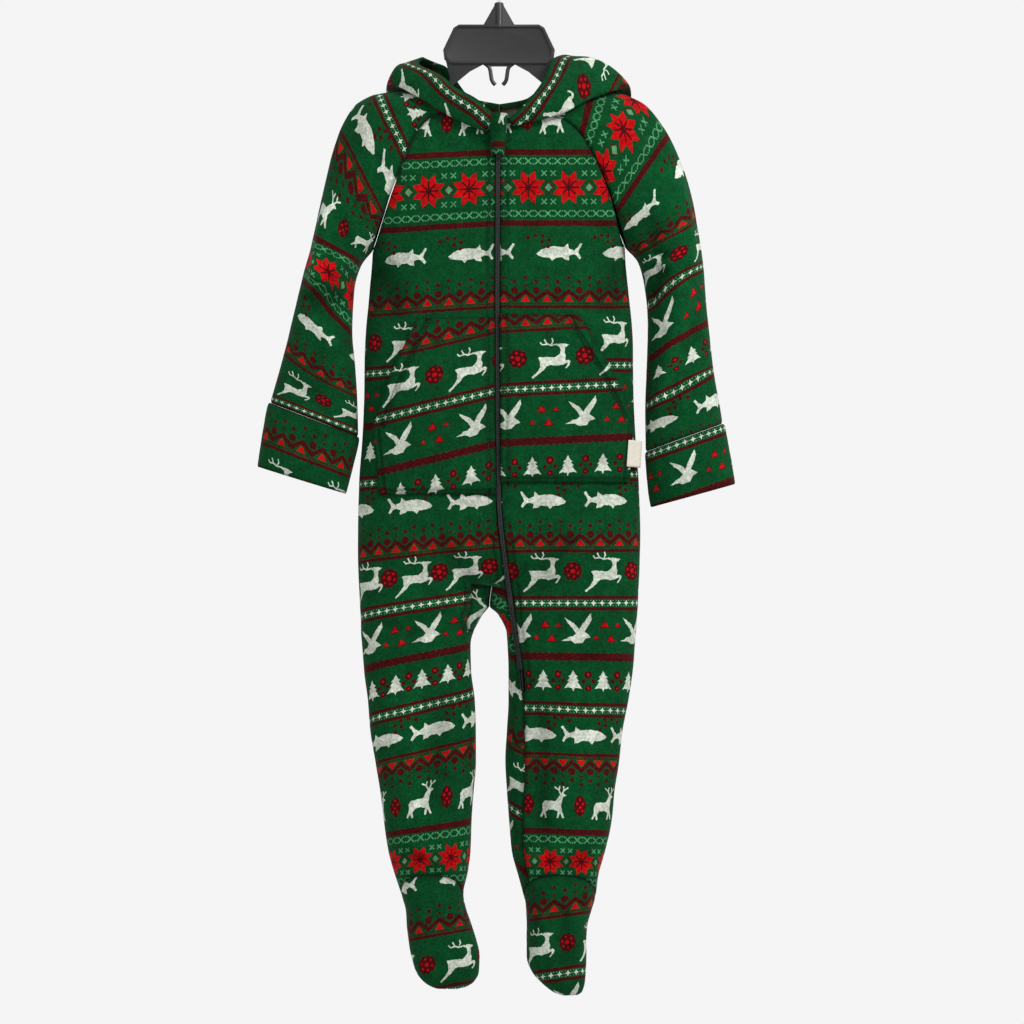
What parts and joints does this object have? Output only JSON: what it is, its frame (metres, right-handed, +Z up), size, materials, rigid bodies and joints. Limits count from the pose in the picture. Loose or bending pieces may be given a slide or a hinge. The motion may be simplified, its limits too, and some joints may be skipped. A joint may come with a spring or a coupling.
{
  "type": "hooded footed onesie pajama on a hanger",
  "caption": "Toddler's hooded fleece one-piece with long sleeves, pouch pocket, covered feet and a long front zip, hanging on a small plastic hanger with a wire hook.",
  "frame": {"origin": "inner top of the hanger's wire hook, where it rests on a rail", "axes": "+Z up along the hanger's stem, the garment's front faces -Y, the wearer's left side is +X"},
  "size_m": [0.4523, 0.1372, 1.0024],
  "materials": {
    "fleece": "soft brushed fleece printed with rows of folk motifs in red, white and pale green on green",
    "zip": "fine black coil zip with a painted slider",
    "label": "blank cream satin tape",
    "hanger_plastic": "moulded black plastic with a fine grain",
    "hook_wire": "bright bent wire"
  },
  "bodies": {
    "garment": {"front_right": "fleece", "front_left": "fleece", "back_right": "fleece", "back_left": "fleece", "gusset_right": "fleece", "gusset_left": "fleece", "vamp_right": "fleece", "sole_right": "fleece", "vamp_left": "fleece", "sole_left": "fleece", "sleeve_right": "fleece", "cuff_right": "fleece", "sleeve_left": "fleece", "cuff_left": "fleece", "hood_right": "fleece", "hood_left": "fleece", "pocket_right": "fleece", "pocket_left": "fleece", "zip_chain": "zip", "zip_slider": "zip", "zip_guard": "fleece", "neck_label": "label", "side_tab": "label", "hanger": "hanger_plastic", "hook": "hook_wire"},
    "zip_pull": {"zip_pull": "zip"}
  },
  "joints": [
    {"name": "pull_swing", "type": "hinge", "parent": "garment", "child": "zip_pull", "pos_m": [0, -0.0427, -0.19], "axis": [1, 0, 0], "range_deg": [-6, 0]}
  ]
}
